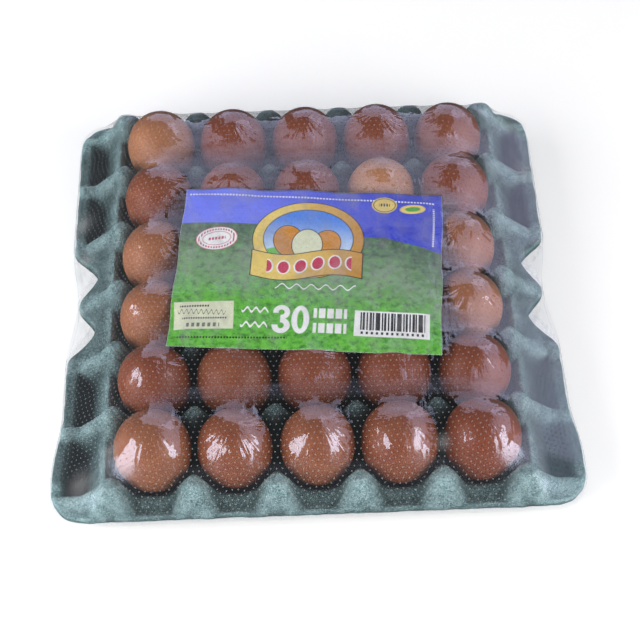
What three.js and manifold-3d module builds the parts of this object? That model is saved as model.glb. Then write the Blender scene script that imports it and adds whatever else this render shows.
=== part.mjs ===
// Egg carton with its eggs: a moulded pulp tray of cups, an egg in each, a printed sheet and clear film.
// Millimetres, +Z up. The origin is under the middle of the tray, +X runs along a row of five cups
// and -Y is the side that faces the viewer.
import * as THREE from 'three';
import { mergeVertices } from 'three/addons/utils/BufferGeometryUtils.js';
import Module from 'manifold-3d';

// Cups and webs of the tray
const pitch = 46;
const columns = 5;
const rows = 6;
const cupFloor = 3.4;
const cupFloorRadius = 10;
const cupSlope = 1.4;
const webTop = 20;
const pulpThickness = 3;
const trayBottom = 0.8;

// Posts between the cups
const innerPostTop = 35;
const endPostTop = 36;
const sidePostTop = 38;
const cornerPostTop = 36;
const postHalfWidth = 4.5;
const postSlope = 2.4;
const postChamfer = 0.8;
const ridgeFall = 0.85;
const ridgeHalfWidth = 2.5;
const ridgeSlope = 2;

// Outline of the tray and its rim
const halfDepth = 149;
const backHalfWidth = 146;
const frontHalfWidth = 150;
const lobeHalfWidth = 141;
const notchDepth = 13;
const notchPitch = 22;
const cornerRadius = 18;
const rimTop = 18.6;
const rimBand = 6.5;
const bandHollow = 1.8;
const lipBottom = 13.8;
const lipThickness = 2.5;

// Side wings: the wall beside the outer cups, the pockets and the plain middle part
const sideWallTop = 27;
const sideWallOut = 4;
const sideWallRise = 1.6;
const pocketFloor = 7;
const pocketFall = 1.5;
const pocketRise = 4;
const crossWallTop = 21;
const middleFall = 0.45;
const middleHalfLength = 48;
const middleEndSlope = 3;

// Where the tray's surface bends: offsets from each cell's middle, shares of a wing, and rows of an end
const cellOffsets = [-23, -17.5, -10, 0, 10, 17.5];
const wingShares = [0.12, 0.5, 0.72, 0.8, 1];
const endRows = [142.5, 146.5];

// Eggs
const eggDiameter = 42.6;
const eggDiameterSpread = 1.6;
const frontEggDiameters = [43.5, 42.3, 42.1, 43.9, 43.6];
const eggLength = 53.2;
const eggLengthSpread = 1.4;
const eggBottom = 3.9;
const eggTaper = 0.1;
const eggTilt = 0.06;
const eggSegments = 9;
const eggRings = 5;

// Drape over the eggs, shared by the sheet and the film
const crown = 58.5;
const sag = 2;
const slackFall = 12;
const drapeStep = pitch / 4;
const sideDrape = [[0, 0], [11.5, 2.4], [23, 11], [32.5, 18.8], [55, 38.2]];
const wingDrape = 32;
const endDrape = [[0, 0], [11.5, 2.4], [23, 17], [27.5, 20.4], [31.5, 30.5], [35, 38.2]];

// Printed sheet and film
const sheetWidth = 157;
const sheetDepth = 120.5;
const sheetCentre = [-0.8, -6.7];
const sheetTurn = -0.086;
const sheetThickness = 0.5;
const filmLift = 0.8;
const filmThickness = 0.5;
const filmClearance = 1.4;
const filmWingShares = [0.3, 1];
const filmHem = 13;
const filmFootShare = 0.93;
const filmHemStep = 3;
const filmFootStep = 4;
const ventHalfWidth = 3;

const sideLine = (columns / 2) * pitch;
const endLine = (rows / 2) * pitch;
const outerEggX = sideLine - pitch / 2;
const outerEggY = endLine - pitch / 2;

const wasm = await Module();
wasm.setup();

const pulp = new THREE.MeshStandardMaterial({ color: 0x6f948c, roughness: 0.95 });
const shell = new THREE.MeshStandardMaterial({ color: 0x9a5a38, roughness: 0.5 });
const paper = new THREE.MeshStandardMaterial({ color: 0x4f9a4a, roughness: 0.6 });
const clear = new THREE.MeshStandardMaterial({ color: 0xf0f2f4, roughness: 0.1, opacity: 0.25 });
clear.transparent = true;

const clamp = (value, low, high) => Math.min(high, Math.max(low, value));

function smooth(value) {
  const t = clamp(value, 0, 1);
  return t * t * (3 - 2 * t);
}

// A repeatable number between -1 and 1 for each whole number
function scatter(seed) {
  const wave = Math.sin(seed * 12.9898 + 4.1) * 43758.5453;
  return 2 * (wave - Math.floor(wave)) - 1;
}

// Distance from the middle of the cell that holds this coordinate
function fromCellCentre(value, count) {
  const cell = clamp(Math.floor(value / pitch + count / 2), 0, count - 1);
  return value - (cell - (count - 1) / 2) * pitch;
}

// Straight lines between the points of a profile
function profileAt(profile, distance) {
  let index = 1;
  while (index < profile.length - 1 && profile[index][0] < distance) index += 1;
  const [startX, startZ] = profile[index - 1];
  const [endX, endZ] = profile[index];
  return startZ + ((endZ - startZ) * (distance - startX)) / (endX - startX);
}

// Half the width of the rim at y, with or without the two finger notches of each side
function halfWidth(y, notched) {
  const along = Math.abs(y);
  const flare = (frontHalfWidth - backHalfWidth) * smooth((-y - 80) / 40);
  const lobe = (backHalfWidth - lobeHalfWidth) * (1 - smooth(along / (2 * notchPitch)));
  const inNotch = notched && along < 2 * notchPitch;
  const notch = inNotch ? notchDepth * 0.5 * (1 - Math.cos((Math.PI * along) / notchPitch)) : 0;
  const intoCorner = clamp((along - halfDepth + cornerRadius) / cornerRadius, 0, 1);
  const corner = cornerRadius * (1 - Math.sqrt(1 - intoCorner * intoCorner));
  return backHalfWidth + flare - lobe - notch - corner;
}

// Nearest post: how far its top and its faces are
function postHeight(x, y) {
  const postX = clamp(Math.round(x / pitch - 0.5) + 0.5, -columns / 2, columns / 2) * pitch;
  const postY = clamp(Math.round(y / pitch), -rows / 2, rows / 2) * pitch;
  const atSide = Math.abs(postX) > sideLine - 1;
  const atEnd = Math.abs(postY) > endLine - 1;
  const dx = Math.abs(x - postX);
  const dy = Math.abs(y - postY);
  const chamfer = Math.abs(y) > endLine ? 0 : postChamfer * (dx + dy);
  const reach = Math.max(dx, dy, chamfer);
  const sideTop = atEnd ? cornerPostTop : sidePostTop;
  const top = atSide ? sideTop : atEnd ? endPostTop : innerPostTop;
  const frustum = top - postSlope * Math.max(0, reach - postHalfWidth);
  if (!atSide || Math.abs(x) < sideLine) return frustum;
  const ridge = sideTop - ridgeFall * dx - ridgeSlope * Math.max(0, dy - ridgeHalfWidth);
  return Math.max(frustum, ridge);
}

// Upper face of a side wing, outside the outer cups
function wingHeight(x, y) {
  const out = Math.abs(x) - sideLine;
  const along = Math.abs(y);
  const fromEdge = halfWidth(y, true) - Math.abs(x);
  const fromWall = out - sideWallOut;
  const pocket = Math.max(pocketFloor, sideWallTop - pocketFall * fromWall);
  const band = rimTop - pocketRise * Math.max(0, fromEdge - rimBand);
  const middle = sideWallTop - middleFall * fromWall - middleEndSlope * Math.max(0, along - middleHalfLength);
  const fromCrossWall = Math.min(Math.abs(along - 2 * pitch), Math.abs(along - endLine));
  const crossWall = crossWallTop - ridgeSlope * Math.max(0, fromCrossWall - ridgeHalfWidth);
  const inside = webTop + sideWallRise * out;
  return Math.min(inside, Math.max(pocket, band, middle, Math.min(crossWall, rimTop + fromEdge)));
}

// Upper face of the whole tray
function trayHeight(x, y) {
  const out = Math.abs(x) - sideLine;
  const beyond = Math.abs(y) - endLine;
  let base;
  if (beyond > 0) {
    const share = beyond / (halfDepth - endLine);
    base = webTop - (webTop - rimTop) * share - bandHollow * Math.sin(Math.PI * share);
  } else if (out > 0) {
    base = wingHeight(x, y);
  } else {
    const fromAxis = Math.hypot(fromCellCentre(x, columns), fromCellCentre(y, rows));
    base = clamp(cupFloor + cupSlope * (fromAxis - cupFloorRadius), cupFloor, webTop);
  }
  return Math.max(base, postHeight(x, y));
}

// Half the width of the film at y, which spans the notches
const filmHalfWidth = (y) => halfWidth(clamp(y, -halfDepth, halfDepth), false) + filmClearance;

// Height of the sheet's underside: over the eggs, the posts and down to the rim
function drapeHeight(x, y) {
  const share = (Math.abs(x) - sideLine) / (filmHalfWidth(y) - sideLine);
  const past = share > 0 ? share * wingDrape : Math.abs(x) - sideLine;
  const out = Math.max(0, sideLine - outerEggX + past);
  const beyond = Math.max(0, Math.abs(y) - outerEggY);
  const fall = Math.max(profileAt(sideDrape, out), profileAt(endDrape, beyond));
  const wave = 2 - Math.cos((2 * Math.PI * fromCellCentre(x, columns)) / pitch)
    - Math.cos((2 * Math.PI * fromCellCentre(y, rows)) / pitch);
  const slack = clamp(1 - fall / slackFall, 0, 1);
  return crown - fall - sag * wave * slack;
}

// Coordinates of a row of cells: the same offsets from each cell's middle, without repeats
function cellLines(count, offsets) {
  const lines = [];
  for (let cell = 0; cell < count; cell += 1) {
    const centre = (cell - (count - 1) / 2) * pitch;
    for (const offset of offsets) lines.push(centre + offset);
  }
  lines.push((count / 2) * pitch);
  return lines;
}

// Places of a grid's border, once round it
function borderPlaces(across, along) {
  const places = [];
  for (let i = 0; i < across - 1; i += 1) places.push([i, 0]);
  for (let j = 0; j < along - 1; j += 1) places.push([across - 1, j]);
  for (let i = across - 1; i > 0; i -= 1) places.push([i, along - 1]);
  for (let j = along - 1; j > 0; j -= 1) places.push([0, j]);
  return places;
}

// Faces of the wall between two loops of point numbers. A null stands for a point that a loop leaves out
function wallFaces(high, low) {
  const faces = [];
  let [heldHigh] = high;
  let [heldLow] = low;
  for (let k = 1; k <= high.length; k += 1) {
    const nextHigh = high[k % high.length];
    const nextLow = low[k % low.length];
    if (nextLow !== null) {
      faces.push(heldHigh, heldLow, nextLow);
      heldLow = nextLow;
    }
    if (nextHigh !== null) {
      faces.push(heldHigh, heldLow, nextHigh);
      heldHigh = nextHigh;
    }
  }
  return faces;
}

// Closed solid between two grids of points of one size. Each ring gives the wall between their borders
// one more loop of points on the way down: where it puts a place of the border, or null to leave it out
function gridSolid(name, material, upper, lower, rings = []) {
  const across = upper.length;
  const along = upper[0].length;
  const points = [...upper.flat(), ...lower.flat()];
  const faces = [];
  const upperIndex = (i, j) => i * along + j;
  const lowerIndex = (i, j) => across * along + i * along + j;
  for (let i = 0; i < across - 1; i += 1) {
    for (let j = 0; j < along - 1; j += 1) {
      const turned = isRoundSlant(upper[i][j], upper[i + 1][j + 1]);
      for (const [index, up] of [[upperIndex, true], [lowerIndex, false]]) {
        const corners = [index(i, j), index(i + 1, j), index(i + 1, j + 1), index(i, j + 1)];
        if (turned) corners.push(corners.shift());
        const [a, b, c, d] = up ? corners : [...corners].reverse();
        faces.push(...(up ? [a, b, c, a, c, d] : [b, c, d, b, d, a]));
      }
    }
  }
  const border = borderPlaces(across, along);
  const ringLoops = rings.map((ring) => border.map(([i, j], k) => {
    const point = ring(upper[i][j], k);
    return point && points.push(point) - 1;
  }));
  const upperLoop = border.map(([i, j]) => upperIndex(i, j));
  const lowerLoop = border.map(([i, j]) => lowerIndex(i, j));
  const loops = [upperLoop, ...ringLoops, lowerLoop];
  for (let level = 1; level < loops.length; level += 1) {
    faces.push(...wallFaces(loops[level - 1], loops[level]));
  }
  return meshOf(name, material, points.flat(), faces);
}

function meshOf(name, material, positions, faces) {
  const geometry = new THREE.BufferGeometry();
  geometry.setAttribute('position', new THREE.Float32BufferAttribute(positions, 3));
  geometry.setIndex(faces);
  const mesh = new THREE.Mesh(geometry, material);
  mesh.name = name;
  return mesh;
}

// Whether a cell of the grid is split across its cup's spokes by its first diagonal
function isRoundSlant(start, end) {
  const x = fromCellCentre((start[0] + end[0]) / 2, columns);
  const y = fromCellCentre((start[1] + end[1]) / 2, rows);
  return x * y > 0;
}

// Lines of a grid across x at one y: the even ones over the cups, then shares of each wing
function acrossLines(inner, shares, edge) {
  const wing = shares.map((share) => sideLine + share * (edge - sideLine));
  const opposite = wing.map((x) => -x).reverse();
  return [...opposite, ...inner, ...wing];
}

function makeTray() {
  const ends = [...endRows, halfDepth];
  const inner = cellLines(columns, cellOffsets);
  const yLines = [...ends.map((y) => -y).reverse(), ...cellLines(rows, cellOffsets), ...ends];
  const rowsOfX = yLines.map((y) => acrossLines(inner, wingShares, halfWidth(y, true)));
  const inward = (value) => value * (1 - lipThickness / halfDepth);
  const last = rowsOfX[0].length - 1;
  const upper = rowsOfX[0].map((_, i) => yLines.map((y, j) => {
    const x = rowsOfX[j][i];
    return [x, y, trayHeight(x, y)];
  }));
  const lower = upper.map((line, i) => line.map(([x, y, z]) => {
    const onBorder = i === 0 || i === last || Math.abs(y) === halfDepth;
    const floor = Math.max(trayBottom, z - pulpThickness);
    return onBorder ? [inward(x), inward(y), floor] : [x, y, floor];
  }));
  return gridSolid('tray', pulp, upper, lower, [([x, y]) => [x, y, lipBottom]]);
}

// One egg, blunt end up, turned about the upright axis so that its facets differ from its neighbours'
function makeEgg(row, column) {
  const seed = row * columns + column + 1;
  const spread = 0.5 * eggDiameterSpread * scatter(seed);
  const diameter = row === 0 ? frontEggDiameters[column] : eggDiameter + spread;
  const length = eggLength + 0.5 * eggLengthSpread * scatter(seed + 40);
  const profile = [];
  for (let ring = 0; ring <= eggRings + 1; ring += 1) {
    const angle = (Math.PI * ring) / (eggRings + 1);
    const radius = 0.5 * diameter * Math.sin(angle) * (1 - eggTaper * Math.cos(angle));
    const onAxis = ring === 0 || ring === eggRings + 1;
    profile.push(new THREE.Vector2(onAxis ? 0 : radius, -0.5 * length * Math.cos(angle)));
  }
  const geometry = new THREE.LatheGeometry(profile, eggSegments);
  geometry.rotateX(Math.PI / 2);
  geometry.rotateZ(seed);
  geometry.rotateX(eggTilt * scatter(seed + 80));
  geometry.rotateY(eggTilt * scatter(seed + 120));
  const x = (column - (columns - 1) / 2) * pitch;
  const y = (row - (rows - 1) / 2) * pitch;
  geometry.translate(x, y, eggBottom + 0.5 * length);
  const mesh = new THREE.Mesh(geometry, shell);
  mesh.name = `egg_r${row + 1}_c${column + 1}`;
  return mesh;
}

function asSolid(geometry) {
  geometry.deleteAttribute('normal');
  geometry.deleteAttribute('uv');
  const merged = mergeVertices(geometry);
  return new wasm.Manifold(new wasm.Mesh({
    numProp: 3,
    vertProperties: merged.attributes.position.array,
    triVerts: new Uint32Array(merged.index.array),
  }));
}

// Even lines up to a length on both sides of the middle
function evenLines(half) {
  const count = Math.floor(half / drapeStep);
  return Array.from({ length: 2 * count + 1 }, (_, k) => (k - count) * drapeStep);
}

// Printed sheet: a thin drape over the eggs, cut to its turned rectangle
function makeSheet() {
  const xLines = evenLines(outerEggX);
  const yLines = evenLines(outerEggY - pitch / 2);
  const level = (rise) => xLines.map((x) => yLines.map((y) => [x, y, drapeHeight(x, y) + rise]));
  const drape = gridSolid('drape', paper, level(sheetThickness), level(0));
  const block = new THREE.BoxGeometry(sheetWidth, sheetDepth, crown);
  block.rotateZ(sheetTurn);
  block.translate(sheetCentre[0], sheetCentre[1], crown);
  const cut = asSolid(drape.geometry).intersect(asSolid(block)).getMesh();
  return meshOf('label', paper, Array.from(cut.vertProperties), Array.from(cut.triVerts));
}

// Clear film: one thin skin over everything, drawn in under the rim and across below, with one vent hole
function makeFilm() {
  const inner = evenLines(sideLine - drapeStep);
  const yInner = evenLines(endLine - drapeStep);
  const ends = [endLine, ...endRows, halfDepth + filmClearance];
  const yLines = [...ends.map((y) => -y).reverse(), ...yInner, ...ends];
  const rowsOfX = yLines.map((y) => acrossLines(inner, filmWingShares, filmHalfWidth(y)));
  const across = rowsOfX[0].length;
  const along = yLines.length;
  const outward = 1 + filmThickness / halfDepth;
  const level = (rise, grow) => rowsOfX[0].map((_, i) => yLines.map((y, j) => {
    const x = rowsOfX[j][i];
    return [grow * x, grow * y, drapeHeight(x, y) + filmLift + rise];
  }));
  const gridCorners = [0, across - 1, across + along - 2, 2 * across + along - 3];
  const nearCorner = (x, y) => Math.abs(x) > sideLine && Math.abs(y) > endLine - 1;
  const ring = (grow, z, isKept) => ([x, y], k) => (isKept(k, x, y) ? [grow * x, grow * y, z] : null);
  const inHem = (k, x, y) => k % filmHemStep === 0 || nearCorner(x, y);
  const inFoot = (k) => k % filmFootStep === 0 || gridCorners.includes(k);
  const vent = (z) => ([x, y], k) => (
    gridCorners.includes(k) ? [Math.sign(x) * ventHalfWidth, Math.sign(y) * ventHalfWidth, z] : null);
  const rings = [
    ring(1, filmHem, inHem),
    ring(filmFootShare, 0, inFoot),
    vent(0),
    vent(filmThickness),
    ring(filmFootShare / outward, filmThickness, inFoot),
    ring(1 / outward, filmHem, inHem),
  ];
  return gridSolid('film', clear, level(filmThickness, outward), level(0, 1), rings);
}

const carton = new THREE.Group();
carton.name = 'egg_carton';
carton.add(makeTray());
for (let row = 0; row < rows; row += 1) {
  for (let column = 0; column < columns; column += 1) carton.add(makeEgg(row, column));
}
carton.add(makeSheet());
carton.add(makeFilm());

export default carton;
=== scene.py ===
# Egg carton: a moulded pulp tray of brown eggs with a printed sheet, all under clear perforated shrink film
import math
from functools import partial

import bmesh
import bpy
import numpy as np
from mathutils import Matrix, Vector


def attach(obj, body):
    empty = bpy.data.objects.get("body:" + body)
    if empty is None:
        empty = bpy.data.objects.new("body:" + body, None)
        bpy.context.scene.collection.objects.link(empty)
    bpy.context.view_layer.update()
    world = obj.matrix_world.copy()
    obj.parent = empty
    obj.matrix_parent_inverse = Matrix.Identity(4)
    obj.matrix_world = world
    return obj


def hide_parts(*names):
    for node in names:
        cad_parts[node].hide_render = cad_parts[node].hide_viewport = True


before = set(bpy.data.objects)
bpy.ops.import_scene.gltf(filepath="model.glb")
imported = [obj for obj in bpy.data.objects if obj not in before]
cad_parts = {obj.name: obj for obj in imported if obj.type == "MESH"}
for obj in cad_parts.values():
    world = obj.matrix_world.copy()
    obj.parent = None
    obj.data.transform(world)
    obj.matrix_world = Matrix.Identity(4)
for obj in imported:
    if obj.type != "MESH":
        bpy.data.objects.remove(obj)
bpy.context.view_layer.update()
mm = 0.001  # sizes below are in millimetres, and the frame is in metres

# The cells that the tray, the eggs and the film share
pitch = 46
columns = 5
rows = 6
sideLine = columns / 2 * pitch
endLine = rows / 2 * pitch
farBelow = -50.0  # a height for where there is nothing
print("frame loaded", len(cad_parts), "nodes")


# Small mathematics for the shapes
def smooth(value):
    t = np.clip(value, 0, 1)
    return t * t * (3 - 2 * t)


def softMax(a, b, blend):
    h = np.clip(0.5 + 0.5 * (a - b) / blend, 0, 1)
    return b + (a - b) * h + blend * h * (1 - h)


def softMin(a, b, blend):
    return -softMax(-a, -b, blend)


def scatter(seed):  # a repeatable number between -1 and 1 for each whole number
    wave = math.sin(seed * 12.9898 + 4.1) * 43758.5453
    return 2 * (wave - math.floor(wave)) - 1


def ripple(x, y, size, seed):  # soft random bumps of about this size, between -1 and 1
    lattice = np.random.default_rng(seed).random((128, 128)) * 2 - 1
    u = x / size + 1024.37
    v = y / size + 1024.71
    i = np.floor(u).astype(int)
    j = np.floor(v).astype(int)
    s = smooth(u - i)
    t = smooth(v - j)
    near = lattice[i % 128, j % 128] * (1 - s) + lattice[(i + 1) % 128, j % 128] * s
    far = lattice[i % 128, (j + 1) % 128] * (1 - s) + lattice[(i + 1) % 128, (j + 1) % 128] * s
    return near * (1 - t) + far * t


def fromCellCentre(value, count):
    cell = np.clip(np.floor(value / pitch + count / 2), 0, count - 1)
    return value - (cell - (count - 1) / 2) * pitch


# Sizes of the tray, as in the solids
tray = {
    "cupFloor": 3.4,
    "cupFloorRadius": 10,
    "cupSlope": 1.4,
    "webTop": 20,
    "innerPostTop": 35.5,
    "endPostTop": 36.5,
    "sidePostTop": 38.5,
    "postHalfWidth": 5,
    "postRound": 0.8,
    "postSlope": 2.4,
    "postChamfer": 0.8,
    "endChamfer": 0.6,
    "postDimple": 0.9,
    "dimpleWidth": 3,
    "dimpleDepth": 1.6,
    "ridgeFall": 0.85,
    "ridgeHalfWidth": 2.5,
    "ridgeSlope": 2,
    "halfDepth": 149,
    "backHalfWidth": 146,
    "frontHalfWidth": 150,
    "lobeHalfWidth": 141,
    "notchDepth": 13,
    "notchPitch": 22,
    "cornerRadius": 18,
    "rimTop": 18.6,
    "rimBand": 6.5,
    "lipDrop": 4.8,
    "sideWallTop": 27,
    "sideWallOut": 4,
    "sideWallRise": 1.6,
    "pocketFloor": 7,
    "pocketFall": 1.5,
    "pocketRise": 4,
    "crossWallTop": 21.5,
    "middleFall": 0.45,
    "middleHalfLength": 48,
    "middleEndSlope": 3,
    "thickness": 2.6,
    "bandHollow": 1.8,
    "flareStart": 80,  # the wings widen to the front over this stretch
    "flareLength": 40,
    "soft": 1.0,  # how far the moulded edges round into each other
    "cupSoft": 3,
    "postSoft": 3.2,
    "lumps": ((0.35, 13, 1), (0.25, 5, 2), (0.16, 2.4, 3)),  # height, size and seed of each kind
    "raggedEdge": (0.35, 6, 4),
    "gridSteps": 200,
}


# Half the width of the rim at y, with or without the two finger notches of each side and without the corners
def straightHalfWidth(y, notched):
    along = np.abs(y)
    lobe = (tray["backHalfWidth"] - tray["lobeHalfWidth"]) * (1 - smooth(along / (2 * tray["notchPitch"])))
    widened = smooth((-y - tray["flareStart"]) / tray["flareLength"])
    flare = (tray["frontHalfWidth"] - tray["backHalfWidth"]) * widened
    wave = tray["notchDepth"] * 0.5 * (1 - np.cos(np.pi * along / tray["notchPitch"]))
    notch = np.where(along < 2 * tray["notchPitch"], wave, 0) if notched else 0
    return tray["backHalfWidth"] + flare - lobe - notch


def halfWidth(y, notched):
    along = np.abs(y)
    radius = tray["cornerRadius"]
    intoCorner = np.clip((along - tray["halfDepth"] + radius) / radius, 0, 1)
    return straightHalfWidth(y, notched) - radius * (1 - np.sqrt(1 - intoCorner**2))


def postHeight(x, y):
    postX = np.clip(np.round(x / pitch - 0.5) + 0.5, -columns / 2, columns / 2) * pitch
    postY = np.clip(np.round(y / pitch), -rows / 2, rows / 2) * pitch
    atSide = np.abs(postX) > sideLine - 1
    atEnd = np.abs(postY) > endLine - 1
    dx = np.abs(x - postX)
    dy = np.abs(y - postY)
    beyondEnd = np.abs(y) > endLine
    chamfer = np.where(beyondEnd, tray["endChamfer"], tray["postChamfer"]) * (dx + dy)
    reach = softMax(softMax(dx, dy, tray["postRound"]), chamfer, tray["postRound"])
    sideTop = np.where(atEnd, tray["endPostTop"], tray["sidePostTop"])
    top = np.where(atSide, sideTop, np.where(atEnd, tray["endPostTop"], tray["innerPostTop"]))
    dimple = tray["postDimple"] * np.exp(-((dx / tray["dimpleWidth"]) ** 2 + (dy / tray["dimpleDepth"]) ** 2))
    beyondTop = softMax(reach - tray["postHalfWidth"], 0, tray["postSoft"]) - 0.2
    frustum = top - dimple - tray["postSlope"] * beyondTop
    ridge = sideTop - tray["ridgeFall"] * dx - tray["ridgeSlope"] * np.maximum(0, dy - tray["ridgeHalfWidth"])
    outside = atSide & (np.abs(x) > sideLine)
    return np.where(outside, softMax(frustum, np.where(outside, ridge, farBelow), tray["soft"]), frustum)


def wingHeight(x, y):
    out = np.abs(x) - sideLine
    along = np.abs(y)
    fromEdge = halfWidth(y, True) - np.abs(x)
    fromWall = out - tray["sideWallOut"]
    soft = tray["soft"]
    pocket = softMax(tray["pocketFloor"], tray["sideWallTop"] - tray["pocketFall"] * fromWall, soft)
    band = tray["rimTop"] - tray["pocketRise"] * np.maximum(0, fromEdge - tray["rimBand"])
    middle = tray["sideWallTop"] - tray["middleFall"] * fromWall
    middle = middle - tray["middleEndSlope"] * np.maximum(0, along - tray["middleHalfLength"])
    fromCrossWall = np.minimum(np.abs(along - 2 * pitch), np.abs(along - endLine))
    beyondCrossWall = np.maximum(0, fromCrossWall - tray["ridgeHalfWidth"])
    crossWall = tray["crossWallTop"] - tray["ridgeSlope"] * beyondCrossWall
    crossWall = np.minimum(crossWall, tray["rimTop"] + fromEdge)
    outer = softMax(softMax(pocket, band, soft), softMax(middle, crossWall, soft), soft)
    return softMin(tray["webTop"] + tray["sideWallRise"] * out, outer, soft)


def trayHeight(x, y):
    out = np.abs(x) - sideLine
    beyond = np.abs(y) - endLine
    fromAxis = np.hypot(fromCellCentre(x, columns), fromCellCentre(y, rows))
    cupWall = tray["cupFloor"] + tray["cupSlope"] * (fromAxis - tray["cupFloorRadius"])
    cup = softMin(softMax(tray["cupFloor"], cupWall, tray["cupSoft"]), tray["webTop"], tray["soft"])
    fromEnd = beyond / (tray["halfDepth"] - endLine)
    flange = tray["webTop"] - (tray["webTop"] - tray["rimTop"]) * fromEnd
    flange = flange - tray["bandHollow"] * np.sin(np.pi * np.clip(fromEnd, 0, 1))
    base = np.where(beyond > 0, flange, np.where(out > 0, wingHeight(x, y), cup))
    return softMax(base, postHeight(x, y), tray["soft"])


# Places of a sheet's grid: the inner rows fill the tray's outline, and the last ones turn down round its edge
def sheetPlaces(i, j, steps, edge):
    last = edge["rows"]
    level = np.maximum.reduce([last - i, i - (steps - last), last - j, j - (steps - last), 0 * i])
    endLevel = np.maximum(last - j, j - (steps - last)) > 0
    u = (np.clip(i, last, steps - last) - steps / 2) / (steps / 2 - last)
    v = (np.clip(j, last, steps - last) - steps / 2) / (steps / 2 - last)
    radius = tray["cornerRadius"]
    straight = tray["halfDepth"] - radius
    along = np.abs(v) * (straight + radius * np.pi / 2)
    turn = np.clip((along - straight) / radius, 0, np.pi / 2)
    y = np.sign(v) * (np.minimum(along, straight) + radius * np.sin(turn))
    half = straightHalfWidth(y, edge["notched"]) - radius * (1 - np.cos(turn)) + edge["grow"]
    y = y * (1 + edge["grow"] / tray["halfDepth"])
    inner = sideLine / tray["frontHalfWidth"]
    wing = sideLine + (np.abs(u) - inner) / (1 - inner) * (half - sideLine)
    x = np.sign(u) * np.where(np.abs(u) < inner, np.abs(u) / inner * sideLine, wing)
    turn = np.where(endLevel, np.pi / 2, turn)
    push = np.interp(level, range(last + 1), edge["push"])
    x = x + np.sign(u) * np.cos(turn) * push
    y = y + np.sign(v) * np.sin(turn) * push
    drop = np.interp(level, range(last + 1), edge["drop"])
    return x, y, drop, level


def gridMesh(steps):
    bm = bmesh.new()
    bmesh.ops.create_grid(bm, x_segments=steps, y_segments=steps, size=1)
    bm.verts.ensure_lookup_table()
    flat = np.array([vert.co[:2] for vert in bm.verts])
    index = np.rint((flat + 1) / 2 * steps).astype(int)
    return bm, index[:, 0], index[:, 1]


def setPlaces(bm, places):
    for vert, place in zip(bm.verts, places * mm):
        vert.co = place


def finishMesh(bm, name, material, smoothed=True):
    bmesh.ops.remove_doubles(bm, verts=bm.verts, dist=0.004 * mm)
    bmesh.ops.dissolve_degenerate(bm, edges=bm.edges, dist=0.002 * mm)
    for face in bm.faces:
        face.smooth = smoothed
    mesh = bpy.data.meshes.new(name)
    bm.to_mesh(mesh)
    bm.free()
    mesh.materials.append(material)
    piece = bpy.data.objects.new(name, mesh)
    bpy.context.scene.collection.objects.link(piece)
    return piece


# Shader building. One call adds a node, with its main choice after its kind, and its live inputs in order or
# any by name. It gives one of the node's outputs, the first live one unless another is named
mainChoice = {
    "Attribute": "attribute_name",
    "MapRange": "interpolation_type",
    "Math": "operation",
    "Mix": "data_type",
    "UVMap": "uv_map",
    "VectorMath": "operation",
    "VectorRotate": "rotation_type",
}


def addNode(tree, kind, *values, out=0, **named):
    kind, _, choice = kind.partition(" ")
    node = tree.nodes.new("ShaderNode" + kind)
    if choice:
        setattr(node, mainChoice[kind], choice)
    inputs = [socket for socket in node.inputs if socket.enabled]
    for key, value in (*enumerate(values), *named.items()):
        socket = inputs[key] if isinstance(key, int) else node.inputs[key.replace("_", " ")]
        if isinstance(value, bpy.types.NodeSocket):
            tree.links.new(value, socket)
        else:
            socket.default_value = value
    outputs = node.outputs if isinstance(out, str) else [socket for socket in node.outputs if socket.enabled]
    return outputs[out] if outputs else None


def hexColour(text):  # sRGB hex to linear
    parts = [int(text[k:k + 2], 16) / 255 for k in (1, 3, 5)]
    linear = [p / 12.92 if p <= 0.04045 else ((p + 0.055) / 1.055) ** 2.4 for p in parts]
    return (*linear, 1)


def newMaterial(name):
    material = bpy.data.materials.new(name)
    material.use_nodes = True
    material.node_tree.nodes.clear()
    return material, partial(addNode, material.node_tree)


def millimetres(add):  # the piece's own coordinates, in millimetres
    return add("VectorMath SCALE", add("TexCoord", out="Object"), 1 / mm)


pulp = {
    "dark": "#415E5E",
    "middle": "#7C9C9F",
    "light": "#ADC7C9",
    # Painted shade: the colour the pulp darkens to where the sky is hidden
    "paintedShade": "#31494A",
    "mottleSize": 6,
    "fibreSize": 1.0,
    "bumpDepth": 0.9,
    # Painted shade: how open each place is to the sky sets how dark its colour is
    "directions": 8,
    "reaches": (5, 11, 19),
    "shut": 0.25,  # below this share of open sky the pulp is at its darkest
    "wide": 0.8,  # and above this one at its palest
    # Painted shade: darker places, each with the lines in x and y that bound it
    "lipShade": 0.55,
    "lipLines": (129, 143),
    "wingShade": 0.6,
    "wingLines": (121, 128),
    "bandShade": 0.35,
    "bandLines": (118, 141),
}
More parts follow.
